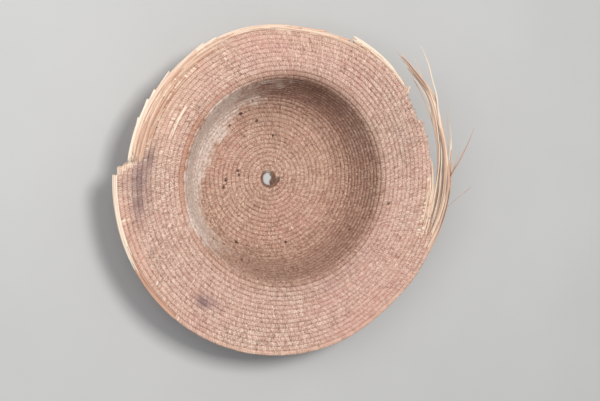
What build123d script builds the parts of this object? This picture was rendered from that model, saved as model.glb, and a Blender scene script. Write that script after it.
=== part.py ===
from build123d import *
from math import cos, radians, sin
import os

# Winnowing basket, coiled and sewn, in millimetres, opening upwards.
# One long foundation bundle of grass stems runs outwards in a spiral, counter-clockwise seen
# from above: over a flat floor, up a steep wall and out along a flat brim. A strip of palm leaf
# is wrapped round it all the way and sews each turn to the one inside it. The outer turns are
# broken off over about half of the edge, and their stems hang out loose on the +X side. Two
# pieces of the innermost broken turn are left there, and the turn inside it has lost its sewing.
# The basket is built around its own axis, then moved so that the origin is under the middle of
# its bounding box, on the surface it stands on.

# Coil
PITCH = 6.65            # from one turn to the next, along the basket's profile
BUNDLE_R = 2.55         # bare foundation bundle
SEWING_IN_R = 2.7       # inside of the wrapped strip
SEWING_OUT_R = 3.2      # outside of the wrapped strip
WORN_OFF = 0.15         # taken off the sewing under the floor by wear, which leaves flats

# Profile, from the worn hole outwards
HOLE_R = 10.0           # hole worn through the middle of the floor
FLOOR_R = 99.0          # where the floor starts to turn up into the wall
BEND_R = 31.0           # radius of the bend from floor to wall
WALL_SLOPE = 68.0       # degrees from level
LIP_R = 12.0            # radius of the lip from wall to brim
DEPTH = 78.0            # from the floor's coil up to the brim's coil

# Edge, in degrees round from +X
BRIM_TURNS = 10
BARE = (48.0, 173.0)                        # where the last of these turns has lost its sewing
LEFT_OVER = ((0.0, 21.0), (34.0, 62.0))     # pieces left of the innermost broken turn
LEFT_SEWN_TO = (21.0, 48.0)                 # where the sewing on each of them ends
RAW_ENDS = (173.0, 174.3, 175.6, 176.9)     # where the broken turns start, inner one first
SEWN_FROM = (174.2, 175.5, 176.8, 228.0)    # the outermost turn is bare as far as the last
SEWN_TO = (350.0, 345.0, 340.0, 335.0)
BARE_RUN = 5.0          # a broken turn goes on this much past its sewing, then falls apart

# Bare stems
STEM_R = 0.8
STEM_RING_R = 1.6       # ring of stems round the middle one in a bundle's broken end
EDGE_CLEAR = 0.3        # between a bare stem and the sewing beside it
STEM_STEP = 2.0         # between stems that lie side by side along the edge

# Tips of the loose stems as radius, degrees round from +X, and height above the brim's coil.
# One row for each broken turn, inner one first, and the middle stem of the bundle first.
LOOSE_TIPS = (
    ((246, 38.0, 2), (240, 24.0, 3), (236, 14.0, 1), (233, 9.0, -4), (243, 31.0, -2)),
    ((250, 49.0, 10), (247, 45.0, 7), (245, 30.0, 6), (243, 12.0, -4), (246, 22.0, 3)),
    ((263, 41.5, 14), (262, 28.0, 13), (256, 34.0, 11), (251, 9.0, -5), (252, 18.0, 9)),
    ((280, 44.0, 20), (275, 23.0, 17), (265, 13.0, 15), (257, 2.0, -6), (258, 7.0, 12)),
)
# Stray stems that stand away from the rest: root and tip, each as radius, degrees and height.
STRAY_STEMS = (
    ((262.5, 353.0, 3.0), (301, 14.0, 20)),
    ((262.5, 357.0, 9.0), (277, 9.0, 15)),
    ((261.5, 348.0, -1.0), (296, 357.0, 8)),
)


def run_lengths():
    """Lengths along the profile of the floor, the bend, the straight wall and the lip."""
    slope = radians(WALL_SLOPE)
    straight_rise = DEPTH - (BEND_R + LIP_R) * (1 - cos(slope))
    floor = FLOOR_R - HOLE_R - SEWING_OUT_R
    return floor, BEND_R * slope, straight_rise / sin(slope), LIP_R * slope


def profile(s):
    """Radius and height of the coil's centre at s millimetres along the profile."""
    slope = radians(WALL_SLOPE)
    floor, bend, straight, lip = run_lengths()
    base_z = SEWING_OUT_R - WORN_OFF
    if s <= floor:
        return FLOOR_R - floor + s, base_z
    s -= floor
    if s <= bend:
        turned = s / BEND_R
        return FLOOR_R + BEND_R * sin(turned), base_z + BEND_R * (1 - cos(turned))
    s -= bend
    foot_r = FLOOR_R + BEND_R * sin(slope)
    if s <= straight:
        foot_z = base_z + BEND_R * (1 - cos(slope))
        return foot_r + s * cos(slope), foot_z + s * sin(slope)
    s -= straight
    lip_r = foot_r + straight * cos(slope) + LIP_R * sin(slope)
    if s <= lip:
        left = slope - s / LIP_R
        return lip_r - LIP_R * sin(left), base_z + DEPTH - LIP_R * (1 - cos(left))
    return lip_r + s - lip, base_z + DEPTH


def zone_turns():
    """Turn numbers of the floor, the wall, the brim and the broken edge."""
    runs = run_lengths()
    wall_from = int(runs[0] // PITCH)
    brim_from = int(sum(runs) // PITCH) + 1
    edge_from = brim_from + BRIM_TURNS
    return {
        "floor": range(wall_from),
        "wall": range(wall_from, brim_from),
        "brim": range(brim_from, edge_from),
        "edge": range(edge_from, edge_from + len(RAW_ENDS)),
    }


def half_turn(section, start, turned_from, turned_to):
    """Half a turn of coil, from turn number start, as part of a torus.

    Even halves start on +X and odd ones on -X. Each is tilted about Y just enough to climb to
    the next one, so the halves meet square on the XZ plane and the spiral has no kinks.
    """
    side = 1 if start % 1 == 0 else -1
    near_r, near_z = profile(start * PITCH)
    far_r, far_z = profile((start + 0.5) * PITCH)
    near = Vector(side * near_r, 0, near_z)
    far = Vector(-side * far_r, 0, far_z)
    chord = far - near
    axis = Axis((near + far) * 0.5, (side * chord.Z, 0, abs(chord.X)))
    face = Plane(near, x_dir=(1, 0, 0), z_dir=(0, -1, 0)) * section
    if turned_from:
        face = face.rotate(axis, turned_from)
    return revolve(face, axis, turned_to - turned_from)


def coil(section, turn, az_from=0.0, az_to=360.0):
    """One turn of coil between two azimuths, as one solid."""
    halves = []
    if az_from < 180:
        halves.append(half_turn(section, turn, az_from, min(az_to, 180.0)))
    if az_to > 180:
        halves.append(half_turn(section, turn + 0.5, max(az_from - 180, 0.0), az_to - 180))
    return halves[0] if len(halves) == 1 else halves[0] + halves[1]


def coil_radius(turn, azimuth):
    """Radius of a brim turn's centre at an azimuth."""
    half = turn + azimuth // 180 / 2
    near_r = profile(half * PITCH)[0]
    far_r = profile((half + 0.5) * PITCH)[0]
    return near_r + (far_r - near_r) * (1 - cos(radians(azimuth % 180))) / 2


def polar(radius, azimuth, z):
    """Point at a radius and an azimuth in degrees."""
    return Vector(radius * cos(radians(azimuth)), radius * sin(radians(azimuth)), z)


def stem(path):
    """One bare grass stem along an arc."""
    return sweep(Plane(path @ 0, z_dir=path % 0) * Circle(STEM_R), path)


def edge_stem(turn, az_from, az_to, layer):
    """A bare stem that lies against the edge of a turn, some layers out from its sewing."""
    out = SEWING_OUT_R + EDGE_CLEAR + STEM_R + layer * STEM_STEP
    z = profile(turn * PITCH)[1]
    spots = (az_from, (az_from + az_to) / 2, az_to)
    return stem(ThreePointArc(*(polar(coil_radius(turn, az) + out, az, z) for az in spots)))


def bundle_stems(turn, azimuth, tips):
    """Loose stems that leave a bundle's broken end square to it and bend to their tips."""
    middle_r = coil_radius(turn, azimuth)
    z = profile(turn * PITCH)[1]
    along = polar(1, azimuth + 90, 0)
    stems = []
    for number, (tip_r, tip_az, lift) in enumerate(tips):
        round_at = 360 * number / (len(tips) - 1)
        ring_r = STEM_RING_R if number else 0.0
        root_r = middle_r + ring_r * cos(radians(round_at))
        root = polar(root_r, azimuth, z + ring_r * sin(radians(round_at)))
        stems.append(stem(TangentArc(root, polar(tip_r, tip_az, z + lift), tangent=along)))
    return stems


def stray_stem(root, tip):
    """A stem that stands away from the edge, nearly straight."""
    z = profile(zone_turns()["edge"][0] * PITCH)[1]
    start = polar(root[0], root[1], z + root[2])
    end = polar(tip[0], tip[1], z + tip[2])
    return stem(TangentArc(start, end, tangent=polar(1, root[1] + 80, 0.1)))


def worn_flat(ring):
    """A ring of sewing, with its underside worn flat at Z = 0 if it reaches lower."""
    if ring.bounding_box().min.Z >= 0:
        return ring
    size = 3 * FLOOR_R
    return ring - Pos(0, 0, -size / 2) * Box(size, size, size)


def sewn_turns():
    """The foundation turns and the sewing of the floor, the wall and the brim."""
    bundle = Circle(BUNDLE_R)
    strip = Circle(SEWING_OUT_R) - Circle(SEWING_IN_R)
    nodes = {}
    turns = zone_turns()
    for zone in ("floor", "wall", "brim"):
        for number, turn in enumerate(turns[zone], 1):
            nodes[f"{zone}_turn_{number:02}"] = [coil(bundle, turn)]
        nodes[f"{zone}_sewing"] = [worn_flat(coil(strip, turn)) for turn in turns[zone]]
    last = turns["brim"][-1]
    nodes["brim_sewing"][-1:] = [
        coil(strip, last, 0.0, BARE[0]),
        coil(strip, last, BARE[1], 360.0),
    ]
    return nodes


def broken_turns():
    """The outer turns that are broken off, their sewing, and the stems that come out of them."""
    bundle = Circle(BUNDLE_R)
    strip = Circle(SEWING_OUT_R) - Circle(SEWING_IN_R)
    nodes = {"edge_sewing": []}
    for index, turn in enumerate(zone_turns()["edge"]):
        bare_to = SEWN_TO[index] + BARE_RUN
        nodes[f"edge_turn_{index + 1:02}"] = [coil(bundle, turn, RAW_ENDS[index], bare_to)]
        nodes["edge_sewing"].append(coil(strip, turn, SEWN_FROM[index], SEWN_TO[index]))
        stems = bundle_stems(turn, bare_to, LOOSE_TIPS[index])
        nodes[f"loose_stems_{index + 1:02}"] = stems
    first = zone_turns()["edge"][0]
    for (az_from, az_to), sewn_to in zip(LEFT_OVER, LEFT_SEWN_TO):
        nodes["edge_turn_01"].append(coil(bundle, first, az_from, az_to))
        nodes["edge_sewing"].append(coil(strip, first, az_from, sewn_to))
    return nodes


def bare_stems():
    """Single stems left along the edge where the rest of their turns is gone, and strays."""
    last = zone_turns()["brim"][-1]
    return {
        "top_edge_stems": [
            edge_stem(last, 64, 84, 0),
            edge_stem(last, 86, 114, 0),
            edge_stem(last, 66, 98, 1),
        ],
        "side_edge_stems": [
            edge_stem(last, 117, 172, 0),
            edge_stem(last, 122, 172, 1),
            edge_stem(last, 146, 171, 2),
        ],
        "stray_stems": [stray_stem(root, tip) for root, tip in STRAY_STEMS],
    }


def main():
    """Builds every node, centres the basket on its bounding box and writes the STEP files."""
    os.makedirs("parts", exist_ok=True)
    nodes = sewn_turns() | broken_turns() | bare_stems()
    box = Compound(children=[Compound(solids) for solids in nodes.values()]).bounding_box()
    centre = Pos(-box.center().X, -box.center().Y, 0)
    print(f"{len(nodes)} nodes, box {box.min} to {box.max}")
    for name, solids in nodes.items():
        placed = [centre * solid for solid in solids]
        export_step(placed[0] if len(placed) == 1 else Compound(placed), f"parts/{name}.step")


main()
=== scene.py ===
import itertools
import math

import bpy
import numpy as np
from mathutils import Matrix, Vector


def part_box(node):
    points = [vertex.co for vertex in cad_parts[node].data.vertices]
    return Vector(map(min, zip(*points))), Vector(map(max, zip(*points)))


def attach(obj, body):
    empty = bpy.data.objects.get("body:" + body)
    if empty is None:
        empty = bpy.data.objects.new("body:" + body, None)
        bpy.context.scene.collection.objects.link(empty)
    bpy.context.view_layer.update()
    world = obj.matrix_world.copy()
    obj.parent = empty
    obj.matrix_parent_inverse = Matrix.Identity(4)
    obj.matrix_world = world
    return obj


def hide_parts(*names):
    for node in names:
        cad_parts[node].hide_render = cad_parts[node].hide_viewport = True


# Looks of the coiled winnowing basket. Lengths here are millimetres and become metres when a mesh
# is made. Places round the basket are (radius, degrees round from +X, height), about its own axis.
# A place on the coil is a turn number: its whole part counts turns from the hole, and its fraction
# is how far round that turn it is, starting at +X.

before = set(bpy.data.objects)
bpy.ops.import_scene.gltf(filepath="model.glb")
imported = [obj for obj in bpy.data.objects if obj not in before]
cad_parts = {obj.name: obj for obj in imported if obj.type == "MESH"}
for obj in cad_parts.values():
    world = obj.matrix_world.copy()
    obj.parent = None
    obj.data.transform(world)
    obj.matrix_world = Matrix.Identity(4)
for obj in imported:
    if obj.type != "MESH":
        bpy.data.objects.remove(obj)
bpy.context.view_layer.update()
random = np.random.default_rng(11)
MM = 0.001

# ---------- the coil, read from the CAD

TURNS = {
    zone: sorted(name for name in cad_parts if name.startswith(zone + "_turn_"))
    for zone in ("floor", "wall", "brim", "edge")
}


def box_mm(node):
    """Lowest and highest corner of a CAD node, in millimetres."""
    low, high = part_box(node)
    return np.array(low) / MM, np.array(high) / MM


def read_coil():
    """The basket's axis, and the coil's radius and height at every whole turn."""
    low, high = box_mm(TURNS["floor"][0])
    bundle = (high[2] - low[2]) / 2
    last_low, last_high = box_mm(TURNS["brim"][-1])
    pitch = (last_high[0] - box_mm(TURNS["brim"][0])[1][0]) / (len(TURNS["brim"]) - 1)
    middle = (last_low + last_high) / 2
    axis = np.array((middle[0] - pitch / 4, middle[1] + pitch / 4, 0.0))
    radii, heights = [], [low[2] + bundle]
    for node in TURNS["floor"] + TURNS["wall"] + TURNS["brim"]:
        high = box_mm(node)[1]
        radii.append(high[0] - bundle - axis[0])
        heights.append(high[2] - bundle)
    radii.insert(0, 2 * radii[0] - radii[1])
    for _ in range(len(TURNS["edge"]) + 1):
        radii.append(radii[-1] + pitch)
        heights.append(heights[-1])
    return axis, np.array(radii), np.array(heights)


AXIS, COIL_R, COIL_Z = read_coil()
WALL_FROM = len(TURNS["floor"])
BRIM_FROM = WALL_FROM + len(TURNS["wall"])
EDGE_FROM = BRIM_FROM + len(TURNS["brim"])
LAST_WHOLE = EDGE_FROM - 1
BRIM_Z = COIL_Z[-1]


def between(knots, turn):
    """Smooth value at turn numbers, from the values at whole turns."""
    turn = np.clip(turn, 0, len(knots) - 1.0001)
    whole = np.floor(turn).astype(int)
    part = turn - whole
    ends = 2 * knots[0] - knots[1], 2 * knots[-1] - knots[-2]
    padded = np.concatenate(((ends[0],), knots, (ends[1],)))
    a, b, c, d = (padded[whole + step] for step in range(4))
    bend = 2 * a - 5 * b + 4 * c - d + part * (3 * (b - c) + d - a)
    return b + 0.5 * part * (c - a + part * bend)


def smooth(value, start, end):
    """0 before start, 1 after end, smooth in between. It falls where start is after end."""
    part = np.clip((value - start) / (end - start), 0, 1)
    return part * part * (3 - 2 * part)


def near(azimuth, middle, width):
    """1 at an azimuth in degrees, falling to 0 over about width degrees to either side."""
    away = (azimuth - middle + 180) % 360 - 180
    return np.exp(-((away / width) ** 2))


NOISE_SIDE = 32
SLOPE_STEP = 0.03               # turns to either side over which the profile's slope is taken
NOISE_TABLE = random.random((NOISE_SIDE,) * 3)


def noise(points, size, seed=0):
    """Smooth random values from 0 to 1 at points, in blobs about size across."""
    place = points / size + seed * 7.31
    whole = np.floor(place).astype(int)
    part = place - whole
    part = part * part * (3 - 2 * part)
    total = np.zeros(points.shape[:-1])
    for corner in itertools.product((0, 1), repeat=3):
        weight = np.prod(np.where(corner, part, 1 - part), axis=-1)
        index = (whole + np.array(corner)) % NOISE_SIDE
        total += weight * NOISE_TABLE[index[..., 0], index[..., 1], index[..., 2]]
    return total


# Where the edge is drawn in, or bulges out where negative: (azimuth, width, distance)
PULLED_IN = ((44, 16, -3.0), (12, 12, -1.2), (82, 15, 5.5), (309, 14, 3.5))
WARPED_FROM, WARPED_FULLY = 155, 225        # radii over which the warp sets in
WAVES = ((1.1, 2, 0.8), (0.6, 3, -1.1))     # of the brim's height: (height, waves round it, phase)


def warped(radius, azimuth, height):
    """The brim isn't quite round or flat: its edge is drawn in here and there, and it waves."""
    outwards = smooth(radius, WARPED_FROM, WARPED_FULLY)
    pull = sum(depth * near(azimuth, middle, width) for middle, width, depth in PULLED_IN)
    turned = np.radians(azimuth)
    wave = sum(size * np.sin(times * turned + phase) for size, times, phase in WAVES)
    return radius - outwards * pull, height + outwards * wave


def polar(radius, azimuth, height):
    """Points at radii, azimuths in degrees and heights about the basket's axis."""
    turned = np.radians(azimuth)
    along_x, along_y = radius * np.cos(turned), radius * np.sin(turned)
    return AXIS + np.stack((along_x, along_y, height + 0 * turned), -1)


def warped_place(radius, azimuth, height):
    """Points of the warped basket, from the places they would have without the warp."""
    radius, height = warped(radius, azimuth, height)
    return polar(radius, azimuth, height)


def coil_frame(turn):
    """Centre of the coil, and its outward, facing and forward directions, at turn numbers.

    Outward is along the basket's profile, away from the hole. Facing is square to the profile,
    towards the side that shows from above.
    """
    radius, height = between(COIL_R, turn), between(COIL_Z, turn)
    d_radius = between(COIL_R, turn + SLOPE_STEP) - between(COIL_R, turn - SLOPE_STEP)
    d_height = between(COIL_Z, turn + SLOPE_STEP) - between(COIL_Z, turn - SLOPE_STEP)
    size = np.hypot(d_radius, d_height)
    d_radius, d_height = (d_radius / size)[..., None], (d_height / size)[..., None]
    azimuth = (turn % 1) * 360
    radial = polar(np.ones_like(turn), azimuth, 0 * turn) - AXIS
    upward = np.array((0.0, 0.0, 1.0))
    centre = warped_place(radius, azimuth, height)
    forward = np.stack((-radial[..., 1], radial[..., 0], 0 * radial[..., 0]), -1)
    outward = d_radius * radial + d_height * upward
    facing = d_radius * upward - d_height * radial
    return centre, outward, facing, forward


# ---------- meshes

def in_scene(name, data):
    """New object of that data in the scene."""
    made = bpy.data.objects.new(name, data)
    bpy.context.scene.collection.objects.link(made)
    return made


def make_piece(name, mesh_data, material, nodes):
    """One closed mesh piece from (points, quads, end faces, attributes), riding on the basket."""
    points, quads, ends, values = mesh_data
    mesh = bpy.data.meshes.new(name)
    mesh.vertices.add(len(points))
    mesh.vertices.foreach_set("co", (points * MM).astype(np.float32).ravel())
    sizes = np.concatenate((np.full(len(quads), 4), [len(end) for end in ends])).astype(np.int32)
    corners = np.concatenate([quads.ravel()] + [np.asarray(end) for end in ends]).astype(np.int32)
    mesh.loops.add(len(corners))
    mesh.loops.foreach_set("vertex_index", corners)
    mesh.polygons.add(len(sizes))
    starts = np.concatenate(((0,), np.cumsum(sizes)[:-1])).astype(np.int32)
    mesh.polygons.foreach_set("loop_start", starts)
    mesh.update(calc_edges=True)
    mesh.validate()
    mesh.polygons.foreach_set("use_smooth", np.arange(len(sizes)) < len(quads))
    for key, value in values.items():
        vector = value.ndim == 2
        layer = mesh.attributes.new(key, "FLOAT_VECTOR" if vector else "FLOAT", "POINT")
        layer.data.foreach_set("vector" if vector else "value", value.astype(np.float32).ravel())
    mesh.materials.append(material)
    piece = in_scene(name, mesh)
    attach(piece, "root")
    if nodes:
        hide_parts(*nodes)


def grid_quads(columns, around):
    """Faces of a tube of points[columns][around], closed round but open at its ends."""
    row = np.arange(columns - 1)[:, None] * around
    side = np.arange(around)[None, :]
    nxt = (side + 1) % around
    quads = np.stack((row + side, row + nxt, row + around + nxt, row + around + side), -1)
    return quads.reshape(-1, 4)


# ---------- sewn coil

SEWING_R = 3.2                  # from the coil's centre to the outside of its sewing
STITCH = 2.6                    # along the coil
STITCH_SPREAD = 0.5             # how much that differs from stitch to stitch, as a share of it
LEAN = 0.9                      # a stitch leans this much forward on its outer side
PHASES = np.array((0.0, 0.14, 0.34, 0.56, 0.78, 0.92))      # shares of a stitch with a ring of points
BULGE = np.array((0.0, 0.72, 1.0, 1.0, 0.86, 0.55))         # how far each ring is raised
AROUND = 16                     # points in a ring
GROOVE_HALF = (3.4, 2.62)       # half width and half height of the coil between two stitches
STITCH_HALF = (3.54, 3.12)      # and at a stitch's crown
SQUARISH = 3.8                  # exponent of the coil's section: 2 is round, and more is squarer
PIT_DEPTH = 1.5

# Marks on the sewing: (turn number, azimuth, half its turns, half its degrees, strength)
GREY_STAINS = (
    (37.6, 178, 1.2, 6, 1.0), (37.9, 187, 0.9, 3, 0.9), (35.6, 170, 1.0, 5, 0.8),
    (36.2, 180, 2.5, 12, 0.3), (38.8, 191, 1.4, 5, 0.35), (36.8, 233, 1.1, 3, 1.0),
    (35.6, 236, 1.6, 6, 0.4), (30.5, 300, 1.5, 25, 0.2), (34, 20, 2.5, 14, 0.2),
    (40.5, 180, 1.6, 3, 0.35),
)
# Dirt, and painted shadow of the wall: the marks on the upper right of the wall, at azimuths 60 to
# 92, and the one on the floor's top at azimuth 92 are painted shadow as well as dirt
DIRT_AND_SHADOW_STAINS = (
    (25.5, 78, 3.0, 30, 0.75), (22, 60, 5, 24, 0.45), (19, 92, 4, 22, 0.4), (18, 262, 3.0, 28, 0.35),
    (25, 20, 5, 30, 0.2), (26, 330, 4, 40, 0.15), (14.5, 40, 1.5, 40, 0.3), (15, 320, 1.2, 40, 0.25),
    (24, 268, 4.5, 34, 0.5), (12.2, 92, 3.5, 26, 0.3), (8.5, 75, 3, 20, 0.12), (22, 315, 5, 24, 0.3),
    (15, 250, 0.8, 20, 0.4),
)
PINK_STAINS = (
    (40.6, 300, 2.5, 22, 0.5), (37.6, 38, 0.5, 7, 0.95), (34, 290, 4, 40, 0.3),
    (30, 345, 3, 30, 0.35), (41, 205, 1.6, 12, 0.5), (34, 100, 3, 30, 0.25),
)
SMEARS = (
    (35.5, 150, 3.4, 22, 0.9), (36.5, 120, 1.8, 24, 0.5), (32.5, 150, 1.0, 12, 0.6),
    (41.3, 200, 1.4, 22, 0.9), (43, 255, 0.8, 30, 0.9), (42.8, 305, 0.9, 30, 0.8),
    (37.5, 335, 1.5, 20, 0.3), (36.5, 80, 1.5, 20, 0.4),
)
# Insect holes: (turn number, azimuth, reach)
PITS = (
    (36.1, 158, 1.5), (19.9, 144, 2.4), (14.1, 115, 3.2), (11.2, 103, 2.5), (5.6, 167, 2.8),
    (5.2, 174, 2.2), (7.5, 85, 2.3), (14.4, 241, 2.9), (13.3, 285, 2.6), (19.9, 246, 3.0),
    (19.4, 252, 2.6), (29.8, 347, 2.1), (22.7, 325, 2.5), (8.3, 182, 2.4), (9.0, 190, 2.2),
    (17.2, 232, 2.3), (33.2, 62, 1.4), (13.1, 128, 1.6), (21.0, 160, 1.8), (18.3, 188, 1.5),
    (16.4, 104, 1.8), (24.6, 100, 1.6),
)


def stitch_marks():
    """Turn numbers at which one stitch ends and the next begins, along the whole coil."""
    marks = [0.0]
    end = EDGE_FROM + len(TURNS["edge"])
    while marks[-1] < end:
        radius = between(COIL_R, np.array(marks[-1]))
        width = STITCH * (1 + STITCH_SPREAD * (random.random() - 0.5))
        marks.append(marks[-1] + width / (2 * math.pi * radius))
    return np.array(marks)


MARKS = stitch_marks()
STITCH_TONE = random.random(len(MARKS))
STITCH_RISE = random.normal(0, 1, len(MARKS))
STITCH_LUCK = random.random(len(MARKS))
# How dark each stitch's hollows are painted: dirt, and painted shade
STITCH_DIRT_AND_SHADE = random.random(len(MARKS)) ** 1.4


def marked(turn, azimuth, marks):
    """How strongly places on the coil lie within a table of marks."""
    total = np.zeros(np.shape(turn))
    for middle, at, turns, degrees, strength in marks:
        across = np.exp(-(((turn - middle) / turns) ** 2))
        total = total + strength * across * near(azimuth, at, degrees)
    return np.clip(total, 0, 1)


def dust_at(turn, azimuth, points):
    """How far fine dust fills and hides the sewing: on the wall's left side and its foot."""
    ragged = 2 * (noise(points, 24, 3) - 0.5) + 1.6 * (noise(points, 7, 4) - 0.5)
    round_part = smooth(azimuth + 18 * ragged, 88, 126) * smooth(azimuth + 14 * ragged, 240, 202)
    foot = BRIM_FROM - 16.6 + 3.4 * smooth(azimuth, 176, 206) + 3.0 * smooth(azimuth, 128, 106)
    depth = turn + 1.1 * ragged
    band = smooth(depth, foot - 0.8, foot + 1.4) * smooth(depth, BRIM_FROM - 0.9, BRIM_FROM - 2.4)
    return round_part * band * (0.72 + 0.5 * noise(points, 12, 5)).clip(0, 1)


# Where stitches have worn away along the edge: (turns inside the edge, azimuths over which this
# sets in, azimuths over which it ends, chance)
WORN_AWAY = (
    (1, (58, 66), (173.2, 172.6), 0.97),
    (0, (36, 46), (100, 90), 0.97),
    (2, (114, 124), (176, 168), 1.0),
    (3, (126, 134), (172, 160), 1.0),
)
WORN_ANYWHERE = 0.001           # chance for any stitch
STREAK = (32.8, 0.6, 153, 9, 0.8)           # turn, half its turns, azimuth, half its degrees, chance
WORN_LEFT, WORN_RIGHT = 0.12, 0.75          # chances at the two ends of the broken turns


def bare_chance(turn, azimuth):
    """Chance that a stitch is worn away and shows the bundle."""
    edge = 0.0
    for inwards, begins, ends, chance in WORN_AWAY:
        on_turn = (turn >= EDGE_FROM - inwards) * (turn < EDGE_FROM - inwards + 1)
        edge = edge + on_turn * smooth(azimuth, *begins) * smooth(azimuth, *ends) * chance
    middle, turns, at, degrees, chance = STREAK
    streak = near(azimuth, at, degrees) * np.exp(-(((turn - middle) / turns) ** 2)) * chance
    left = smooth(turn, EDGE_FROM + 0.4, EDGE_FROM + 1.6)
    left = left * smooth(azimuth, 177, 186) * smooth(azimuth, 240, 205)
    right = (turn > EDGE_FROM - 0.1) * smooth(azimuth, 335, 343)
    right = (right + (turn > EDGE_FROM - 1) * smooth(azimuth, 345, 352)) * (azimuth > 300)
    return WORN_ANYWHERE + edge + streak + WORN_LEFT * left + WORN_RIGHT * right


def sewn_coil(first, last):
    """Mesh of the sewing from one turn number to another: every stitch is its own bulge."""
    start, stop = np.searchsorted(MARKS, (first, last))
    count = stop - start
    begin, end = MARKS[start:stop], MARKS[start + 1:stop + 1]
    turn = (begin[:, None] + PHASES * (end - begin)[:, None]).ravel()
    turn = np.append(turn, end[-1])
    stitch = np.append(np.repeat(np.arange(start, stop), len(PHASES)), stop)
    phase = np.append(np.tile(PHASES, count), 0.0)
    bulge = np.append(np.tile(BULGE, count), 0.0)
    azimuth = (turn % 1) * 360
    radius = between(COIL_R, turn)

    section = np.arange(AROUND) * 2 * math.pi / AROUND
    outward, facing = np.cos(section), np.sin(section)
    bare = STITCH_LUCK[stitch] < bare_chance(turn, azimuth)

    # The stitch leans, and its raised part narrows towards its two ends
    lean = LEAN * (1 + 0.5 * STITCH_RISE[stitch].clip(-1.5, 1.5))[:, None] * outward[None, :]
    narrow = np.where(phase > 0, (0.5 - phase) * STITCH, 0)[:, None] * 0.35 * (outward ** 4)[None, :]
    ahead = lean * (phase > 0)[:, None] + LEAN * outward * (phase == 0)[:, None] + narrow
    shifted = turn[:, None] + ahead / (2 * math.pi * radius[:, None])
    centre, out, face, forward = coil_frame(shifted)

    def squarish(half_width, half_height):
        """Radius of the section, in each direction round it."""
        level = (np.abs(outward) / half_width) ** SQUARISH
        upright = (np.abs(facing) / half_height) ** SQUARISH
        return (level + upright) ** (-1 / SQUARISH)

    top = centre + SEWING_R * (outward[:, None] * out + facing[:, None] * face)
    dust = dust_at(shifted, azimuth[:, None], top) * smooth(facing, -0.2, 0.3)
    groove_r = squarish(*GROOVE_HALF) + 0.4 * dust
    stitch_r = squarish(*STITCH_HALF)
    rise = bulge * (1 + 0.2 * STITCH_RISE[stitch].clip(-2, 2)) * np.where(bare, 0.0, 1.0)
    r = groove_r + (stitch_r[None, :] - groove_r) * rise[:, None]
    r = r - 0.35 * bare[:, None]
    r = r + 0.34 * (noise(centre, 2.6, 1) - 0.5) + 0.5 * (noise(centre, 9, 2) - 0.5)

    pit = np.zeros(r.shape)
    ragged_pits = 2.4 * (noise(top, 2.2, 6) - 0.5)
    for at_turn, at_azimuth, reach in PITS:
        at_turn = np.array(at_turn)
        spot = warped_place(between(COIL_R, at_turn), at_azimuth, between(COIL_Z, at_turn))
        away = centre + SEWING_R * outward[:, None] * out - spot
        away = np.linalg.norm(away, axis=-1) + ragged_pits
        pit = np.maximum(pit, smooth(away, reach * 1.15, reach * 0.5) * smooth(facing, -0.1, 0.3))
    r = r - PIT_DEPTH * pit
    points = centre + r[..., None] * (outward[:, None] * out + facing[:, None] * face)
    points[..., 2] = np.maximum(points[..., 2], 0.0)

    spread = np.ones(AROUND)
    # Darker between stitches and on the coil's sides where turns meet: dirt, and painted shade of
    # these creases
    worn = (0.3 + 1.1 * STITCH_DIRT_AND_SHADE[stitch])[:, None]
    groove = worn * np.clip(1 - rise, 0, 1)[:, None] + 0.08 * np.abs(outward) ** 6
    groove = np.clip(groove, 0, 1) * (1 - 0.9 * bare[:, None])
    shown = shifted, np.broadcast_to(azimuth[:, None], shifted.shape)
    values = {
        "tone": STITCH_TONE[stitch][:, None] * spread,
        "groove": groove,
        "pit": pit,
        "dust": dust * (1 - pit),
        "bare": bare[:, None] * spread,
        "turn": turn[:, None] * spread,
        "grey": marked(*shown, GREY_STAINS),
        "dirt": marked(*shown, DIRT_AND_SHADOW_STAINS),
        "pink": marked(*shown, PINK_STAINS),
        "smear": marked(*shown, SMEARS),
        "rim": near(azimuth, 168, 62)[:, None] * np.exp(-(((shifted - BRIM_FROM + 0.6) / 0.9) ** 2)),
    }
    run = turn * 2 * math.pi * radius
    grain = np.stack(
        ((shifted - turn[:, None]) * 2 * math.pi * radius[:, None] + run[:, None],
         np.repeat((section * SEWING_R)[None, :], len(turn), 0),
         stitch[:, None] * 1.7 * spread), -1)
    values = {key: np.asarray(value, float).ravel() for key, value in values.items()}
    values["grain"] = grain.reshape(-1, 3).copy()
    grain[..., 2] = 0.0
    values["along"] = grain.reshape(-1, 3)
    quads = grid_quads(len(turn), AROUND)[:, ::-1]
    low_end = np.arange(AROUND)
    high_end = (len(turn) - 1) * AROUND + np.arange(AROUND)[::-1]
    return points.reshape(-1, 3), quads, [low_end, high_end], values


# ---------- bare stems

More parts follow.
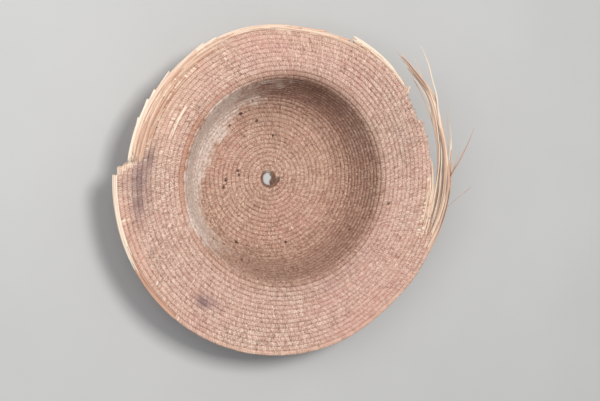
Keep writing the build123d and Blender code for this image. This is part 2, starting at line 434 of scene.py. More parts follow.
class Stems:
    """Closed tubes along smooth paths, gathered into one mesh."""

    def __init__(self):
        self.points, self.quads, self.ends = [], [], []
        self.values = {"tone": [], "groove": [], "grain": []}
        self.count = 0

    def add(self, path, width, thick, tone, around=8, groove=0.0, turned=0.0):
        """One stem along path. Its width lies level and its thickness upright, until it is turned."""
        path = np.asarray(path, float)
        count = len(path)
        along = np.gradient(path, axis=0)
        along /= np.linalg.norm(along, axis=1)[:, None] + 1e-9
        side = np.cross(along, (0.0, 0.0, 1.0))
        side /= np.linalg.norm(side, axis=1)[:, None] + 1e-9
        rise = np.cross(side, along)
        section = np.arange(around) * 2 * math.pi / around
        width = np.broadcast_to(width, count)[:, None, None]
        thick = np.broadcast_to(thick, count)[:, None, None]
        turned = np.broadcast_to(turned, count)[:, None]
        spin_side = np.cos(turned) * side + np.sin(turned) * rise
        spin_rise = np.cos(turned) * rise - np.sin(turned) * side
        ring = (width * np.cos(section)[None, :, None] * spin_side[:, None, :]
                + thick * np.sin(section)[None, :, None] * spin_rise[:, None, :])
        points = path[:, None, :] + ring
        run = np.concatenate(((0,), np.cumsum(np.linalg.norm(np.diff(path, axis=0), axis=1))))
        seed = random.random() * 400
        self.points.append(points.reshape(-1, 3))
        self.quads.append(grid_quads(count, around) + self.count)
        self.ends.append(np.arange(around)[::-1] + self.count)
        self.ends.append((count - 1) * around + np.arange(around) + self.count)
        total = count * around
        self.values["tone"].append(np.full(total, tone))
        self.values["groove"].append(np.full(total, float(groove)))
        self.values["grain"].append(np.stack(
            (np.repeat(run, around), np.tile(section * 1.5, count), np.full(total, seed)), -1))
        self.count += total

    def data(self):
        values = {key: np.concatenate(value) for key, value in self.values.items()}
        return np.concatenate(self.points), np.concatenate(self.quads), self.ends, values


def curve_through(knots, count):
    """count points along a smooth curve through knots."""
    knots = np.asarray(knots, float)
    place = np.linspace(0, len(knots) - 1.0001, count)
    return np.stack([between(knots[:, axis], place) for axis in range(knots.shape[1])], -1)


STEM_STEP = 5.0                 # between the points along a stem
GOLDEN_ANGLE = 2.39996          # radians; places turned by it from one to the next never line up
GOLDEN_SHARE = 0.618            # the same for places along a line


def disc_spots(count, width, height):
    """count places spread evenly over an oval, as (level, upright) offsets."""
    number = np.arange(count)
    reach = np.sqrt((number + 0.5) / count)
    turned = number * GOLDEN_ANGLE
    return np.stack((width * reach * np.cos(turned), height * reach * np.sin(turned)), -1)


def taper(count, root=1.0, tip=0.3, over=0.12):
    """Sizes along a stem that narrows over its last part."""
    place = np.linspace(0, 1, count)
    return root + (tip - root) * smooth(place, 1 - over, 1.0)


def bundle(stems, guide, spots, spread, size, ends, wander=0.5, tones=(0, 1), dark=0.0):
    """Stems side by side along a guide of (radius, azimuth, lift), each ending at its own azimuth.

    spread scales the places in the bundle along the guide, and ends are (lowest, highest) shares
    of the guide at which stems break off.
    """
    guide = np.asarray(guide, float).copy()
    guide[:, 1] = np.unwrap(guide[:, 1], period=360)
    dense = polar(*curve_through(guide, 60).T)
    run = np.sum(np.linalg.norm(np.diff(dense, axis=0), axis=1))
    for spot in spots:
        share = ends[0] + (ends[1] - ends[0]) * random.random()
        count = max(4, int(run * share / STEM_STEP))
        place = np.linspace(0, share, count)
        knots = curve_through(guide, 200)[(place * 199).astype(int)]
        fan = np.interp(place, np.linspace(0, 1, len(spread)), spread)
        drift = random.normal(0, wander, 2)
        seed = random.random() * 50
        wiggle = wander * np.sin(place * run / 38 + seed)
        radius, height = warped(knots[:, 0], knots[:, 1], BRIM_Z + knots[:, 2])
        radius = radius + fan * spot[0] + wiggle + drift[0] * place
        height = height + fan * spot[1] + 0.6 * wiggle + drift[1] * place
        shape = size * (0.8 + 0.5 * random.random())
        shape = shape * taper(count, 1.0, 0.25 + 0.3 * random.random(), 0.1)
        tone = tones[0] + (tones[1] - tones[0]) * random.random()
        stems.add(polar(radius, knots[:, 1], height), 1.15 * shape, 0.8 * shape, tone=tone,
                  turned=random.normal(0, 0.5), groove=0.8 if random.random() < dark else 0.0)


def coil_radius(turn):
    """Radius of the coil's centre at a turn number, before it is warped."""
    return float(between(COIL_R, np.array(float(turn))))


# ---------- materials

RELIEF = 0.0003                 # height of the bumps in a surface, in metres


def linear(red, green, blue):
    """Linear colour from 0-255 sRGB."""
    channel = [value / 255 for value in (red, green, blue)]
    return [v / 12.92 if v <= 0.04045 else ((v + 0.055) / 1.055) ** 2.4 for v in channel] + [1.0]


class Nodes:
    """Short ways to add and link shader nodes."""

    def __init__(self, name):
        self.material = bpy.data.materials.new(name)
        self.material.use_nodes = True
        self.tree = self.material.node_tree
        self.tree.nodes.clear()
        self.shader = self.new("BsdfPrincipled")
        output = self.new("OutputMaterial")
        self.link(self.shader.outputs[0], output.inputs[0])

    def new(self, kind):
        return self.tree.nodes.new("ShaderNode" + kind)

    def link(self, source, target):
        self.tree.links.new(source, target)

    def put(self, value, target):
        """Links a socket to target, or sets a plain value on it."""
        if isinstance(value, bpy.types.NodeSocket):
            self.link(value, target)
        else:
            target.default_value = value

    def attribute(self, name, output="Fac"):
        node = self.new("Attribute")
        node.attribute_name = name
        return node.outputs[output]

    def place(self):
        return self.new("TexCoord").outputs["Object"]

    def scaled(self, vector, scale, shift=(0, 0, 0)):
        node = self.new("Mapping")
        self.link(vector, node.inputs["Vector"])
        node.inputs["Scale"].default_value = scale
        node.inputs["Location"].default_value = shift
        return node.outputs[0]

    def noise(self, vector, scale=1.0, detail=3.0, rough=0.6):
        node = self.new("TexNoise")
        self.link(vector, node.inputs["Vector"])
        for key, value in {"Scale": scale, "Detail": detail, "Roughness": rough}.items():
            node.inputs[key].default_value = value
        return node.outputs["Fac"]

    def math(self, operation, a, b=0.0, clamp=False):
        node = self.new("Math")
        node.operation = operation
        node.use_clamp = clamp
        self.put(a, node.inputs[0])
        self.put(b, node.inputs[1])
        return node.outputs[0]

    def times(self, a, b):
        return self.math("MULTIPLY", a, b)

    def band(self, value, low, high, to_low=0.0, to_high=1.0):
        """to_low where value is under low, to_high where it is over high, smooth in between."""
        node = self.new("MapRange")
        node.interpolation_type = "SMOOTHSTEP"
        self.put(value, node.inputs["Value"])
        limits = {"From Min": low, "From Max": high, "To Min": to_low, "To Max": to_high}
        for key, number in limits.items():
            node.inputs[key].default_value = number
        return node.outputs["Result"]

    def mix(self, share, a, b, blend="MIX"):
        node = self.new("Mix")
        node.data_type = "RGBA"
        node.blend_type = blend
        self.put(share, node.inputs["Factor"])
        self.put(a, node.inputs[6])
        self.put(b, node.inputs[7])
        return node.outputs[2]

    def tint(self, colour, share, red, green, blue):
        """A share of an sRGB colour laid over colour."""
        return self.mix(share, colour, linear(red, green, blue))

    def ramp(self, value, stops):
        node = self.new("ValToRGB")
        self.put(value, node.inputs[0])
        elements = node.color_ramp.elements
        while len(elements) < len(stops):
            elements.new(0.5)
        for element, (place, colour) in zip(elements, stops):
            element.position = place
            element.color = colour
        return node.outputs[0]

    def bump(self, heights):
        """Bumps from (height socket, strength, distance in metres) on top of each other."""
        normal = None
        for height, strength, distance in heights:
            node = self.new("Bump")
            node.inputs["Strength"].default_value = strength
            node.inputs["Distance"].default_value = distance
            self.link(height, node.inputs["Height"])
            if normal is not None:
                self.link(normal, node.inputs["Normal"])
            normal = node.outputs[0]
        self.link(normal, self.shader.inputs["Normal"])


def straw_colour(nodes, grain):
    """Bare grass: pale straw with streaks along each stem, and darker weathered lengths."""
    streak = nodes.noise(nodes.scaled(grain, (0.035, 1.6, 1.0)), 1.0, 4.0, 0.7)
    length = nodes.noise(nodes.scaled(grain, (0.02, 0.1, 1.0), (3, 0, 0)), 1.0, 2.0, 0.5)
    shade = 0.0
    for pattern, share in ((streak, 0.8), (nodes.attribute("tone"), 0.5), (length, 0.25)):
        shade = nodes.math("ADD", shade, nodes.times(pattern, share))
    return nodes.ramp(shade, (
        (0.34, linear(132, 88, 68)),
        (0.58, linear(204, 158, 132)),
        (0.80, linear(234, 200, 176)),
        (1.00, linear(252, 238, 218)),
    ))


def sewing_material():
    """Split palm leaf, dry and dirty: every stitch has its own tone, with dirt and painted shade in
    the hollows between stitches.
    """
    nodes = Nodes("palm_leaf_sewing")
    place, grain = nodes.place(), nodes.attribute("grain", "Vector")
    turn = nodes.attribute("turn")

    # Random patterns, from the finest to the broadest
    fibre = nodes.noise(nodes.scaled(grain, (1.9, 0.16, 1.0)), 1.0, 3.0, 0.65)
    speck = nodes.noise(place, 620.0, 3.0, 0.65)
    mottle = nodes.noise(place, 330.0, 3.0, 0.65)
    fleck = nodes.noise(place, 300.0, 3.0, 0.7)
    blotch = nodes.noise(place, 34.0, 4.0, 0.6)
    broad = nodes.noise(place, 9.0, 3.0, 0.55)

    # The leaf, from brown to pale, with dark specks
    shade = -0.48
    tone = nodes.attribute("tone")
    for pattern, share in ((tone, 0.34), (fibre, 0.56), (mottle, 0.95), (blotch, 0.22)):
        shade = nodes.math("ADD", shade, nodes.times(pattern, share))
    colour = nodes.ramp(shade, (
        (0.14, linear(166, 124, 106)),
        (0.36, linear(214, 176, 158)),
        (0.58, linear(238, 204, 186)),
        (0.86, linear(255, 234, 214)),
    ))
    colour = nodes.tint(colour, nodes.band(speck, 0.39, 0.53, 0.76, 0.0), 136, 98, 86)

    # Stretches that are worn to straw-coloured streaks along the coil, and pink ones
    along = nodes.scaled(nodes.attribute("along", "Vector"), (0.02, 0.75, 1.0))
    streaks = nodes.ramp(nodes.noise(along, 1.0, 3.0, 0.65), (
        (0.32, linear(196, 150, 128)),
        (0.50, linear(230, 190, 166)),
        (0.68, linear(250, 224, 202)),
    ))
    colour = nodes.mix(nodes.times(nodes.attribute("smear"), 0.75), colour, streaks)
    pink = nodes.band(broad, 0.42, 0.64, 0.0, 0.3)
    pink = nodes.math("ADD", pink, nodes.attribute("pink"), clamp=True)
    colour = nodes.tint(colour, nodes.times(pink, 0.6), 226, 168, 156)

    # Browner inside the bowl, partly painted bounce light from its walls and partly less weathered
    # leaf; flecked on the wall, and brown along part of the rim
    inside = nodes.band(turn, BRIM_FROM - 1.6, BRIM_FROM - 0.4, 1.0, 0.0)
    # Painted bounce light, with less weathered leaf: a slight reddish darkening inside the bowl
    browner_with_bounce_light = nodes.mix(1.0, colour, linear(237, 230, 224), "MULTIPLY")
    colour = nodes.mix(inside, colour, browner_with_bounce_light)
    wall = nodes.times(nodes.band(turn, WALL_FROM, WALL_FROM + 2), inside)
    dark_fleck = nodes.times(wall, nodes.band(fleck, 0.36, 0.5, 0.7, 0.0))
    colour = nodes.tint(colour, dark_fleck, 120, 84, 66)
    pale_fleck = nodes.times(wall, nodes.band(fleck, 0.54, 0.68, 0.0, 0.6))
    colour = nodes.tint(colour, pale_fleck, 240, 206, 184)
    rim = nodes.times(nodes.attribute("rim"), nodes.band(mottle, 0.3, 0.6, 0.28, 0.8))
    colour = nodes.tint(colour, rim, 196, 140, 112)

    # The bundle where a stitch has worn away
    worn = nodes.band(turn, EDGE_FROM - 3.2, EDGE_FROM - 2.2, 0.5, 0.9)
    worn = nodes.times(nodes.attribute("bare"), worn)
    colour = nodes.mix(worn, colour, straw_colour(nodes, grain))

    # Stains, some dark marks that are partly painted shadow, dirt and painted shade between stitches,
    # dust over them, and insect holes painted dark as their shade
    ragged = nodes.band(mottle, 0.3, 0.65, 0.45, 1.0)
    grey = nodes.times(nodes.times(nodes.attribute("grey"), ragged), 0.9)
    colour = nodes.tint(colour, grey, 128, 106, 108)
    # Dark marks: dirt, and on the upper right of the bowl painted shadow of the wall as well
    dirty = nodes.times(nodes.attribute("dirt"), nodes.band(speck, 0.3, 0.66, 0.3, 1.0))
    colour = nodes.tint(colour, dirty, 104, 74, 58)
    # Dirt and painted shade between stitches and between turns
    grime_and_shade = nodes.times(nodes.attribute("groove"), nodes.band(mottle, 0.32, 0.6, 0.95, 0.4))
    colour = nodes.tint(colour, grime_and_shade, 108, 70, 56)
    dusty = nodes.mix(nodes.band(mottle, 0.34, 0.62), linear(192, 168, 154), linear(238, 222, 210))
    dust = nodes.times(nodes.attribute("dust"), nodes.band(fleck, 0.34, 0.46, 0.5, 0.92))
    colour = nodes.mix(dust, colour, dusty)
    # Insect holes painted nearly black: painted shade inside the shallow dents
    colour = nodes.tint(colour, nodes.times(nodes.attribute("pit"), 0.9), 58, 34, 24)

    nodes.link(colour, nodes.shader.inputs["Base Color"])
    nodes.link(nodes.band(speck, 0.3, 0.7, 0.66, 0.86), nodes.shader.inputs["Roughness"])
    nodes.shader.inputs["Specular IOR Level"].default_value = 0.3
    nodes.bump(((fibre, 0.55, RELIEF), (speck, 0.5, RELIEF)))
    return nodes.material


def straw_material():
    """Bare grass stems, some of them dark with dirt; the remnant round the hole is darkened as
    painted shade.
    """
    nodes = Nodes("dry_grass")
    grain = nodes.attribute("grain", "Vector")
    colour = straw_colour(nodes, grain)
    # Darker where marked: dirt on some stems, painted shade on the remnant and fringe round the hole
    colour = nodes.tint(colour, nodes.times(nodes.attribute("groove"), 0.85), 84, 50, 36)
    nodes.link(colour, nodes.shader.inputs["Base Color"])
    streak = nodes.noise(nodes.scaled(grain, (0.05, 2.6, 1.0)), 1.0, 3.0, 0.6)
    nodes.link(nodes.band(streak, 0.3, 0.7, 0.42, 0.66), nodes.shader.inputs["Roughness"])
    nodes.bump(((streak, 0.5, RELIEF),))
    return nodes.material


def floor_material():
    """Plain pale studio floor."""
    nodes = Nodes("studio_floor")
    patches = nodes.noise(nodes.place(), 3.0)
    colour = nodes.ramp(patches, ((0.3, linear(196, 196, 195)), (0.7, linear(201, 201, 200))))
    nodes.link(colour, nodes.shader.inputs["Base Color"])
    nodes.shader.inputs["Roughness"].default_value = 0.9
    return nodes.material


# ---------- camera and light

CAMERA_TURN = (20.4159, 4.4625)         # degrees off straight down, towards -X and towards +Y
CAMERA_DISTANCE = 1.75                  # metres
CAMERA_TARGET = (0.0210, -0.0293)       # metres from the basket's axis, at the brim's height
CAMERA_WIDTH, CAMERA_LENS = 36.0, 72.3324       # millimetres
FLOOR_HALF = 4.0                        # metres
FLOOR_BELOW = 0.0003                    # metres, so that the basket's flats don't flicker in it
SURROUND = ((0.93, 0.96, 1.0, 1.0), 0.28)       # colour and strength


def camera():
    """The main view: nearly straight down into the bowl, with +Y up the picture."""
    side, up = (math.sin(math.radians(angle)) for angle in CAMERA_TURN)
    back = Vector((-side, up, math.sqrt(1 - side * side - up * up)))
    target = Vector(AXIS * MM) + Vector((*CAMERA_TARGET, BRIM_Z * MM))
    right = (-back).cross(Vector((0, 1, 0))).normalized()
    data = bpy.data.cameras.new("camera")
    data.sensor_width, data.lens = CAMERA_WIDTH, CAMERA_LENS
    data.clip_start, data.clip_end = 0.05, 50.0
    made = in_scene("camera", data)
    axes = Matrix((right, back.cross(right), back)).transposed().to_4x4()
    made.matrix_world = Matrix.Translation(target + CAMERA_DISTANCE * back) @ axes
    bpy.context.scene.camera = made


def area_light(name, azimuth, elevation, distance, size, power, colour):
    """A square light that shines at the bowl from an azimuth and elevation in degrees."""
    turned, raised = math.radians(azimuth), math.radians(elevation)
    level = math.cos(raised)
    back = Vector((level * math.cos(turned), level * math.sin(turned), math.sin(raised)))
    data = bpy.data.lights.new(name, "AREA")
    data.size, data.energy, data.color = size, power, colour
    made = in_scene(name, data)
    made.location = Vector(AXIS * MM) + distance * back
    made.rotation_euler = back.to_track_quat("Z", "Y").to_euler()


def studio():
    """Pale floor, a soft key light high on the right, a weak fill and an even surround."""
    area_light("key", 65, 71, 4.0, 1.1, 104, (1.0, 0.98, 0.95))
    area_light("fill", 160, 56, 1.6, 0.9, 7.6, (0.97, 0.98, 1.0))
    world = bpy.data.worlds.new("studio")
    world.use_nodes = True
    for socket, value in zip(world.node_tree.nodes["Background"].inputs, SURROUND):
        socket.default_value = value
    bpy.context.scene.world = world
    side, low = FLOOR_HALF, -FLOOR_BELOW
    mesh = bpy.data.meshes.new("studio_floor")
    mesh.from_pydata([(-side, -side, low), (side, -side, low), (side, side, low), (-side, side, low)],
                     [], [(0, 1, 2, 3)])
    mesh.materials.append(floor_material())
    floor = in_scene("studio_floor", mesh)
    bpy.context.scene.view_settings.view_transform = "Standard"


# ---------- the basket

SEWN_FROM = (174.2, 175.5, 176.8, 228.0)    # degrees at which each broken turn's sewing starts
SEWN_TO = (350.0, 345.0, 340.0, 335.0)      # and ends
LEFT_OVER = ((0.0, 21.0), (34.0, 62.0))     # pieces that are left of the innermost broken turn
LEFT_SEWN_TO = 48.0                         # where the sewing on the second of them ends
LEFT_WORN_FROM = 36                         # and where it starts to wear away
BARE_TO = 173.0                             # where the last whole turn's lost sewing starts again
RAW_ENDS = (174.0, 175.3, 176.6)            # where the inner three broken turns start in the notch
STEPS_A_DEGREE = 1.1                        # points along a single loose stem


def build_sewing(material):
    """One piece for each turn of sewn coil, and for each piece that is left of a broken turn."""
    for zone, start in (("floor", 0), ("wall", WALL_FROM), ("brim", BRIM_FROM)):
        for number, node in enumerate(TURNS[zone]):
            piece = node.replace("_turn_", "_sewn_coil_")
            data = sewn_coil(start + number, start + number + 1)
            make_piece(piece, data, material, (node, zone + "_sewing"))
    for number, node in enumerate(TURNS["edge"]):
        first, last = (EDGE_FROM + number + angle[number] / 360 for angle in (SEWN_FROM, SEWN_TO))
        piece = node.replace("_turn_", "_sewn_coil_")
        make_piece(piece, sewn_coil(first, last), material, (node, "edge_sewing"))
    for number, (first, last) in enumerate(LEFT_OVER, 1):
        data = sewn_coil(EDGE_FROM + first / 360, EDGE_FROM + last / 360)
        nodes = (TURNS["edge"][0], "edge_sewing")
        make_piece(f"edge_left_over_{number:02}", data, material, nodes)


def laid_stems(stems, turn, start, end, count, tones, lengths=(35, 110), rise=2.75,
               section=(-40, 150)):
    """Bare grass that lies round a turn of coil where its sewing has worn away.

    rise is how far it lies from the coil's centre, and section is the part of the coil's
    section that it covers, in degrees from its outward side.
    """
    radius = coil_radius(turn + start / 360)
    for number in range(count):
        share = (number * GOLDEN_SHARE) % 1
        angle = math.radians(section[0] + (section[1] - section[0]) * share)
        reach = math.degrees(random.uniform(*lengths) / radius)
        first = random.uniform(start - 0.4 * reach, end - 0.5 * reach)
        first, last = max(first, start), min(first + reach, end)
        steps = max(4, int(math.radians(last - first) * radius / STEM_STEP))
        places = np.linspace(first, last, steps)
        centre, out, face, _ = coil_frame(turn + places / 360)
        angles = angle + 0.22 * np.sin(places / 8 + random.uniform(0, 6.3))
        away = rise + 0.35 * random.random() - 0.9 * smooth(places, last - 0.8, last)
        towards = np.cos(angles)[:, None] * out + np.sin(angles)[:, None] * face
        path = centre + away[:, None] * towards
        size = random.uniform(0.6, 1.0) * taper(steps, 1, 0.4, 0.12)
        stems.add(path, 1.15 * size, 0.6 * size, turned=angles + math.pi / 2,
                  tone=tones[0] + (tones[1] - tones[0]) * random.random())


def raw_end(stems, turn, azimuth, way, reaches=(1.0, 2.0)):
    """Broken ends of a bundle's stems, which stick out of its sewing towards way."""
    for spot in disc_spots(24, 3.3, 2.3):
        places = azimuth + way * np.linspace(-0.6, random.uniform(*reaches), 4)
        radius = coil_radius(turn + azimuth / 360) + spot[0] + random.normal(0, 0.15)
        drifted = radius + np.linspace(0, random.normal(0, 0.5), 4)
        path = warped_place(drifted, places, BRIM_Z + spot[1])
        size = 0.55 + 0.3 * random.random()
        stems.add(path, size * taper(4, 1, 0.6, 0.3), size, tone=0.2 + 0.8 * random.random())


def guide_on_coil(turn, azimuths):
    """Guide points that follow a turn of the coil."""
    return [(coil_radius(turn + azimuth / 360), azimuth, 0.0) for azimuth in azimuths]


# Bare bundles past the sewing of the broken turns, the inner one first: where each leads as
# (radius, azimuth, lift), its number of stems, half its width, how that changes on the way, and
# the shares of the way at which its stems end
BARE_BUNDLES = (
    (((234.2, 356, 0.2), (232.8, 360, 0.4), (231.0, 366, 0.4), (230.4, 369, 0.2)),
     18, 3.2, (1, 1, 0.9, 0.8), (0.7, 1.0)),
    (((241.6, 352, 0.6), (243.6, 359, 2), (246.4, 367, 4), (248.6, 376, 5.5), (251.5, 382, 6),
      (253.5, 388, 6.5), (252.5, 393, 7.5), (249, 398, 8.5), (246.8, 407, 9.5)),
     22, 4.0, (1, 1.15, 1.2, 1.2, 1.1, 1.0, 0.9, 0.8), (0.6, 1.0)),
    (((249.8, 347, 1), (251.9, 355, 3), (252.6, 363, 5), (252.7, 371, 6.3), (253.2, 379, 7),
      (255.5, 386, 7.5), (255, 391, 8), (249.5, 398, 9), (247.5, 405, 10), (249, 412, 10)),
     22, 4.0, (1, 1.15, 1.2, 1.2, 1.1, 1.0, 0.8, 0.7), (0.5, 1.0)),
    (((255.8, 341, 1), (258.2, 349, 3), (259.0, 356, 6), (258.6, 362, 8), (261.5, 368, 10),
      (264.5, 373, 12)),
     22, 3.8, (1, 1, 0.95, 0.85, 0.6, 0.45), (0.55, 1.0)),
)

# Single loose stems, as (where it leads, its size, its tone), by piece and the node it replaces
LOOSE = {
    ("loose_spray_01", "loose_stems_01"): (
        (((242, 5, 2), (245.2, 17, 2), (246, 30, 2), (246.4, 38, 2)), 0.6, 0.25),
        (((245, 8, 3), (249, 20, 4), (251, 29, 5), (249, 36, 6)), 0.7, 0.6),
    ),
    ("loose_spray_02", "loose_stems_02"): (
        (((252, 12, 5), (252.5, 22, 5), (253.5, 28.7, 5), (256, 34.3, 6), (263, 41.5, 7)), 0.95, 0.7),
        (((251, 10, 6), (253, 21, 6), (256, 28, 7), (258.5, 34, 8)), 0.8, 0.4),
    ),
    ("loose_spray_03", "loose_stems_03"): (
        (((253, 5, 6), (251.5, 14, 7.5), (256, 22, 10), (262.7, 27.6, 12), (266.5, 32.8, 14),
          (274, 38.6, 16), (280, 44, 18)), 1.15, 0.85),
        (((254, 8, 6), (254, 16, 8), (258, 23, 10), (263, 29, 11)), 0.8, 0.9),
    ),
    ("loose_spray_04", "loose_stems_04"): (
        (((256, 0, 4), (257.5, 6, 5), (265.7, 16.6, 8), (275.3, 23.1, 10)), 0.6, 0.3),
        (((258, -4, 5), (259.5, 2, 7), (262.5, 8, 9), (268, 17, 11)), 0.75, 0.7),
    ),
    ("stray_stems_bare", "stray_stems"): (
        (((257.2, -7.7, 6), (259.7, 0, 10), (271.1, 4.8, 14), (301.4, 14.1, 19)), 0.85, 0.1),
        (((258.5, -4, 6), (260.7, 0.1, 8), (267.5, 4, 10), (276.8, 8.6, 12)), 0.55, 0.2),
        (((261.3, -10.2, 3), (275, -7, 5), (290, -4, 9), (297, -2.5, 13)), 0.3, 0.1),
    ),
}

# Stems left along the edge, as (azimuth from, azimuth to, distance out from the last whole turn,
# lift), by piece and the node it replaces, with their lowest and highest tone
LEFT_STEMS = {
    ("top_edge_bare_stems", "top_edge_stems", (0.2, 0.8)): (
        (64, 86, 3.4, 0.5), (66, 112, 3.2, -0.9), (74, 99, 4.6, 0.2), (88, 118, 3.6, 1.2),
        (84, 108, 2.2, 2.4),
    ),
    ("side_edge_bare_stems", "side_edge_stems", (0.5, 1.0)): (
        (117, 172.4, 4.2, 0.6), (122, 172.6, 6.0, -0.4), (146, 171.6, 8.0, 0.2),
        (119, 166, 3.4, -1.4), (138, 172.8, 7.4, 0.6), (126, 170, 4.8, 1.6),
        (150, 172.8, 9.4, -0.2), (157, 172.6, 10.6, 0.4),
    ),
}


def build_edge(material):
    """Raw ends, and bare grass that lies along the broken edge."""
    # The outermost turn has lost its sewing over its first stretch
    stems = Stems()
    guide = guide_on_coil(EDGE_FROM + 3, (176.9, 184, 191, 198, 205, 211))
    bundle(stems, guide, disc_spots(18, 3.1, 2.2), (0.9, 1, 1, 0.9, 0.7), 0.85, (0.8, 1.0),
           tones=(0.7, 1.0))
    guide = guide_on_coil(EDGE_FROM + 3, (200, 208, 216, 224, 231))
    bundle(stems, guide, disc_spots(15, 2.7, 2.0), (0.7, 1, 1, 0.9), 0.85, (0.93, 1.0),
           tones=(0.0, 0.3))
    make_piece("outer_bare_run", stems.data(), material, (TURNS["edge"][3],))

    # Raw ends in the notch
    stems = Stems()
    for number, azimuth in enumerate(RAW_ENDS):
        raw_end(stems, EDGE_FROM + number, azimuth, -1, (1.2, 2.8) if number else (0.9, 1.9))
    make_piece("notch_raw_ends", stems.data(), material, TURNS["edge"][:3])

    # Both ends of the gap between the left-over pieces, and the bare far end of the second one
    stems = Stems()
    raw_end(stems, EDGE_FROM, LEFT_OVER[0][1], 1, (0.5, 1.4))
    raw_end(stems, EDGE_FROM, LEFT_OVER[1][0], -1, (0.4, 1.0))
    laid_stems(stems, EDGE_FROM, LEFT_WORN_FROM, LEFT_OVER[1][1] + 1.5, 46, (0.4, 1.0), (25, 60))
    guide = [(coil_radius(EDGE_FROM + azimuth / 360) + away, azimuth, 0.8)
             for azimuth, away in ((43, 1.6), (49, 2.4), (55, 3.4), (60, 4.6), (64, 5.8))]
    bundle(stems, guide, disc_spots(5, 1.5, 0.9), (1, 1, 1, 1, 0.8), 0.8, (0.93, 1.0), wander=0.4,
           tones=(0.5, 1.0))
    make_piece("left_over_raw_ends", stems.data(), material, TURNS["edge"][:1])

    def bare(name, nodes, *runs):
        """Piece of bare grass on some lengths of coil, each some turns outside the last whole one."""
        stems = Stems()
        for out, *run in runs:
            laid_stems(stems, LAST_WHOLE + out, *run)
        make_piece(name, stems.data(), material, nodes)

    # Along the upper left, on the turns that have lost their sewing
    bare("last_turn_bare_stems", TURNS["brim"][-1:],
         (0, 56, 113, 46, (0.2, 0.8)),
         (0, 104, BARE_TO, 60, (0.1, 0.75)),
         (0, 60, 113, 22, (0.2, 0.8), (70, 150), 3.1, (10, 120)))
    bare("upper_left_bare_stems", TURNS["brim"][-3:-1],
         (-1, 118, 172, 34, (0.0, 0.6)),
         (-2, 130, 168, 12, (0.0, 0.6), (20, 70)),
         (-6, 144, 161, 4, (0.4, 0.9), (20, 50), 2.9, (50, 120)))

    # Where the broken turns start to come apart on the right
    bare("right_bare_stems", (TURNS["brim"][-1], *TURNS["edge"][:3]),
         (0, 343, 359, 9, (0.1, 1.0), (25, 60)),
         (1, 337, 351, 11, (0.1, 1.0), (25, 55)),
         (2, 336, 346, 9, (0.1, 1.0), (20, 40)),
         (3, 334, 341, 7, (0.3, 1.0), (15, 30)))


def build_loose(material):
    """Bare bundles and stems that hang out of the broken turns or are left along the edge."""
    for number, (guide, count, half_width, spread, ends) in enumerate(BARE_BUNDLES):
        stems = Stems()
        starts = [(coil_radius(EDGE_FROM + number + azimuth / 360), azimuth, 0.0)
                  for azimuth in (SEWN_TO[number] - 1.5, SEWN_TO[number] + 1.5)]
        bundle(stems, starts + list(guide), disc_spots(count, half_width, 2.4), [0.8] + list(spread),
               0.76, ends, wander=1.1, tones=(0.3, 1.0), dark=0.15)
        name = f"edge_bare_bundle_{number + 1:02}"
        make_piece(name, stems.data(), material, TURNS["edge"][number:number + 1])

    for (name, node), strands in LOOSE.items():
        stems = Stems()
        for guide, size, tone in strands:
            guide = np.asarray(guide, float)
            count = max(8, int(np.ptp(guide[:, 1]) * STEPS_A_DEGREE))
            knots = curve_through(guide, count)
            shape = size * taper(count, 1.0, 0.25, 0.25)
            path = warped_place(knots[:, 0], knots[:, 1], BRIM_Z + knots[:, 2])
            stems.add(path, 1.2 * shape, 0.75 * shape, tone=tone)
        make_piece(name, stems.data(), material, (node,))

    for (name, node, tones), strands in LEFT_STEMS.items():
        stems = Stems()
        for start, end, out, lift in strands:
            guide = [(coil_radius(LAST_WHOLE + azimuth / 360) + out, azimuth, lift)
                     for azimuth in np.linspace(start, end, 8)]
            # The first end stands away a little
            guide[0] = (guide[0][0] + 1.5, guide[0][1], guide[0][2] + 0.8)
            bundle(stems, guide, disc_spots(2, 0.7, 0.4), (1, 1), 0.95, (0.98, 1.0), wander=0.35,
                   tones=tones)
        make_piece(name, stems.data(), material, (node,))


def build_torn_stitches(material):
    """Torn ends of sewing strip that still stand out of the edge where a turn has gone."""
    stems = Stems()
    for azimuth in np.arange(1.0, 60.0, 0.7):
        gap = LEFT_OVER[0][1] < azimuth < LEFT_OVER[1][0]
        turn = EDGE_FROM - (1.0 if gap else 0.0)
        if random.random() > (0.95 if gap else 0.3 if azimuth < LEFT_SEWN_TO else 0.08):
            continue
        azimuth = azimuth + random.normal(0, 0.2)
        reach = 1.8 + 3.6 * random.random() ** 2
        curl = random.normal(0, 1.2)
        place = np.linspace(0, 1, 6)
        radius, height = warped(coil_radius(turn + azimuth / 360), azimuth, BRIM_Z)
        height = height + random.uniform(-1.0, 2.4)
        height = height + (1.2 - 1.4 * random.random()) * place ** 2
        radius = radius + 2.2 + reach * np.sin(place * 1.3)
        path = polar(radius, azimuth + curl * place ** 2 / 4, height)
        stems.add(path, random.uniform(0.6, 1.2) * taper(6, 1, 0.5, 0.6), 0.25, around=6,
                  tone=random.random(), groove=0.6 * random.random())

    # A larger torn end at the start of the second left-over piece
    step = np.arange(5)
    start = EDGE_FROM + LEFT_OVER[1][0] / 360
    for spread in (-0.5, 0.1, 0.7):
        centre, out, face, forward = coil_frame(start + 0.3 * step / 360)
        reach = 2.0 + 1.7 * step * (1 - 0.2 * spread)
        path = centre + reach[:, None] * out + 1.5 * face + spread * forward
        stems.add(path, 0.9 * taper(5, 1, 0.5, 0.6), 0.4, around=6, tone=0.6)
    make_piece("torn_edge_stitches", stems.data(), material, ("edge_sewing",))


UPRIGHT = 1.57                              # a quarter turn, which sets a strip on its edge
HOLE_EDGE_TO = 352                          # azimuth at which the fringe round the hole ends


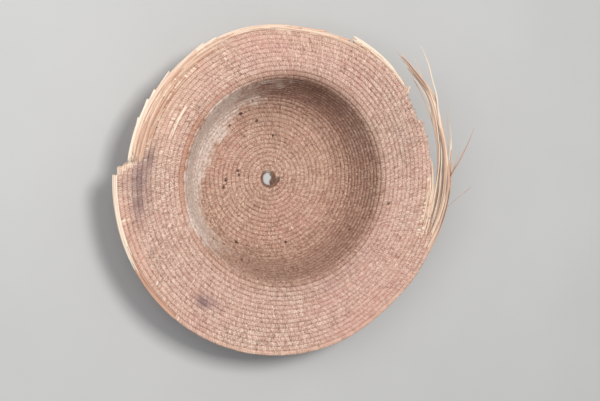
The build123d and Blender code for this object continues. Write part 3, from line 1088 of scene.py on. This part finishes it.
def build_hole(material):
    """What is left of the innermost coil round the worn hole."""
    # A sunken brown remnant on the hole's right, wound with the ends of its stitches, tinted dark as
    # painted shade of the hole
    stems = Stems()
    for ring, (middle, height) in enumerate(((7.0, 1.6), (10.2, 2.1))):
        for spot in disc_spots(12, 1.9, 1.1):
            start, end = -74 + 16 * random.random(), 50 + 16 * random.random()
            azimuth = np.linspace(start, end, 14)
            radius = middle + spot[0] + 0.5 * np.sin(np.radians(azimuth * 2 + 40 * ring))
            path = polar(radius, azimuth, height + spot[1] + 0 * azimuth)
            path[:, 2] = np.maximum(path[:, 2], 0.7)
            stems.add(path, 0.6, 0.55, tone=0.3 * random.random(), groove=0.7 + 0.3 * random.random())
    for azimuth in np.arange(-66, 58, 9.0):
        azimuth = azimuth + random.normal(0, 1.5)
        section = np.linspace(-0.4, 3.5, 8)
        path = polar(9.0 + 3.4 * np.cos(section), azimuth + 3 * section, 2.2 + 1.9 * np.sin(section))
        path[:, 2] = np.maximum(path[:, 2], 0.4)
        stems.add(path, 0.8, 0.28, around=6, tone=0.6 * random.random(),
                  groove=0.5 + 0.5 * random.random(), turned=UPRIGHT)
    make_piece("hole_stub", stems.data(), material, ())

    # A worn fringe round the rest of the hole, pale at its top and tinted dark elsewhere as painted
    # shade of the hole
    stems = Stems()
    for spot in disc_spots(11, 1.7, 1.3):
        azimuth = np.linspace(112 + 25 * random.random(), HOLE_EDGE_TO - 20 * random.random(), 26)
        wavy = 0.3 * np.sin(np.radians(azimuth * 5 + 90 * spot[1]))
        radius = between(COIL_R, azimuth / 360) - 5.2 + spot[0] + wavy
        stems.add(polar(radius, azimuth, 2.6 + spot[1] + 0 * azimuth), 0.6, 0.55,
                  tone=0.3 * random.random(), groove=0.6 + 0.3 * random.random())
    for azimuth in np.arange(58, HOLE_EDGE_TO, 10.0):
        azimuth = azimuth + random.normal(0, 2)
        pale = near(azimuth, 90, 34)
        section = np.linspace(0.2, 3.3, 8)
        radius = coil_radius(azimuth % 360 / 360) - 3.2 + 2.6 * np.cos(section)
        path = polar(radius, azimuth + 4 * section, 2.9 + 2.2 * np.sin(section))
        path[:, 2] = np.maximum(path[:, 2], 0.5)
        stems.add(path, 1.1, 0.35, around=6, tone=0.2 + 0.6 * pale, groove=0.6 * (1 - pale),
                  turned=UPRIGHT)
    make_piece("hole_fringe", stems.data(), material, ())


camera()
studio()
sewing, straw = sewing_material(), straw_material()
build_sewing(sewing)
build_edge(straw)
build_loose(straw)
build_torn_stitches(straw)
build_hole(straw)
